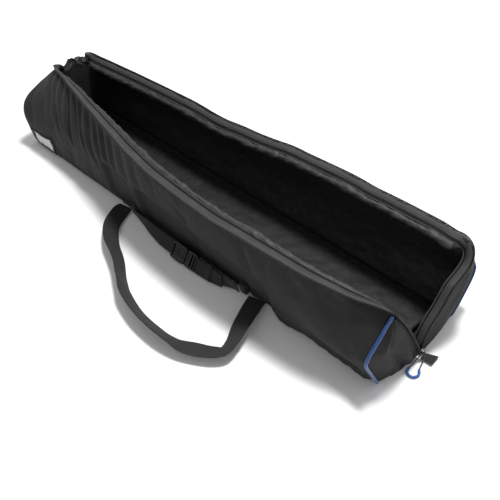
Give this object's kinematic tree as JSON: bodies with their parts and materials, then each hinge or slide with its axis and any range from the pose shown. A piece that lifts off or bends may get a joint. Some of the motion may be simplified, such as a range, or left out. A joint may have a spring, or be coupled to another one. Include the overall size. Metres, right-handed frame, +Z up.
{
  "type": "tripod and telescope carry bag",
  "caption": "Long padded carry bag, unzipped and standing open, with zip flaps, carry handles, a buckled cinch strap and a zip slider with a cord pull.",
  "frame": {"origin": "the centre of the base rectangle between the two end seams, on the underside of the base, so z = 0 is the surface the bag stands on", "axes": "+X along the bag's length towards the end with the zip, +Y towards the back side, +Z up"},
  "size_m": [0.934, 0.5001, 0.1747],
  "materials": {
    "woven_shell": "matt fine woven polyester",
    "foam_padding": "matt soft foam",
    "stiffener_board": "matt sheet",
    "satin_lining": "satin, crinkled",
    "zip_tape": "matt ribbed tape",
    "zip_coil": "satin coil",
    "blue_piping": "satin piping cord",
    "webbing": "ribbed webbing",
    "black_plastic": "satin moulded",
    "zip_metal": "dark plated",
    "pull_cord": "braided cord",
    "blue_tube": "soft tube",
    "paper_card": "plain card",
    "clear_film": "clear flexible film"
  },
  "bodies": {
    "root": {"base_panel": "woven_shell", "base_foam": "foam_padding", "base_board": "stiffener_board", "base_lining": "satin_lining", "front_side_panel": "woven_shell", "front_side_foam": "foam_padding", "front_side_lining": "satin_lining", "back_side_panel": "woven_shell", "back_side_foam": "foam_padding", "back_side_lining": "satin_lining", "far_end_panel": "woven_shell", "far_end_foam": "foam_padding", "far_end_lining": "satin_lining", "zip_end_front_lower": "woven_shell", "zip_end_back_lower": "woven_shell", "zip_end_front_tape_lower": "zip_tape", "zip_end_back_tape_lower": "zip_tape", "front_piping_lower": "blue_piping", "back_piping_lower": "blue_piping", "front_handle_foot_far": "webbing", "front_handle_foot_near": "webbing", "back_handle_foot_far": "webbing", "back_handle_foot_near": "webbing", "front_seam_band": "webbing", "strap_foot_far": "webbing", "strap_foot_near": "webbing", "zip_bottom_stop": "zip_metal", "window_frame": "black_plastic", "window_card": "paper_card", "window_film": "clear_film"},
    "front_flap": {"front_flap_panel": "woven_shell", "front_flap_foam": "foam_padding", "front_flap_lining": "satin_lining", "front_zip_tape": "zip_tape", "front_zip_coil": "zip_coil", "front_rim_roll": "satin_lining", "zip_end_front_upper": "woven_shell", "zip_end_front_tape_upper": "zip_tape", "front_piping_upper": "blue_piping"},
    "back_flap": {"back_flap_panel": "woven_shell", "back_flap_foam": "foam_padding", "back_flap_lining": "satin_lining", "back_zip_tape": "zip_tape", "back_zip_coil": "zip_coil", "back_rim_roll": "satin_lining", "zip_end_back_upper": "woven_shell", "zip_end_back_tape_upper": "zip_tape", "back_piping_upper": "blue_piping"},
    "front_handle": {"front_handle": "webbing"},
    "back_handle": {"back_handle": "webbing"},
    "cinch_strap": {"strap_far_half": "webbing", "buckle_socket": "black_plastic"},
    "strap_plug": {"strap_near_half": "webbing", "buckle_plug": "black_plastic", "strap_keeper": "webbing"},
    "zip_slider": {"zip_slider": "zip_metal"},
    "pull_loop": {"pull_cord": "pull_cord", "pull_tube": "blue_tube"},
    "end_tab": {"end_tab": "webbing"}
  },
  "joints": [
    {"name": "front_flap_fold", "type": "hinge", "parent": "root", "child": "front_flap", "pos_m": [0, -0.112, 0.08875], "axis": [-0.9988, 0.0466, 0.0117], "range_deg": [-12, 15], "stiffness_Nm_per_rad": 0.6},
    {"name": "back_flap_fold", "type": "hinge", "parent": "root", "child": "back_flap", "pos_m": [0, 0.14005, 0.0791], "axis": [1, -0.0077, 0.0051], "range_deg": [-12, 15], "stiffness_Nm_per_rad": 0.6},
    {"name": "front_handle_swing", "type": "hinge", "parent": "root", "child": "front_handle", "pos_m": [0.038, -0.0964, 0.0065], "axis": [-1, 0, 0], "range_deg": [0, 50]},
    {"name": "back_handle_swing", "type": "hinge", "parent": "root", "child": "back_handle", "pos_m": [0.005, 0.0964, 0.0065], "axis": [1, 0, 0], "range_deg": [0, 40]},
    {"name": "strap_swing", "type": "hinge", "parent": "root", "child": "cinch_strap", "pos_m": [0.03, -0.106, 0.017], "axis": [-1, 0, 0], "range_deg": [0, 30]},
    {"name": "buckle_release", "type": "slide", "parent": "cinch_strap", "child": "strap_plug", "axis": [1, 0, 0], "range_m": [0, 0.012]},
    {"name": "slider_travel", "type": "slide", "parent": "root", "child": "zip_slider", "axis": [0, -0.1, 0.995], "range_m": [0, 0.025]},
    {"name": "pull_swing", "type": "hinge", "parent": "zip_slider", "child": "pull_loop", "pos_m": [0.4666, -0.0086, 0.0156], "axis": [-1, 0, 0], "range_deg": [0, 25]},
    {"name": "tab_swing", "type": "hinge", "parent": "root", "child": "end_tab", "pos_m": [0.4651, -0.0032, 0.0027], "axis": [0.181, -0.9835, 0], "range_deg": [0, 20]}
  ]
}
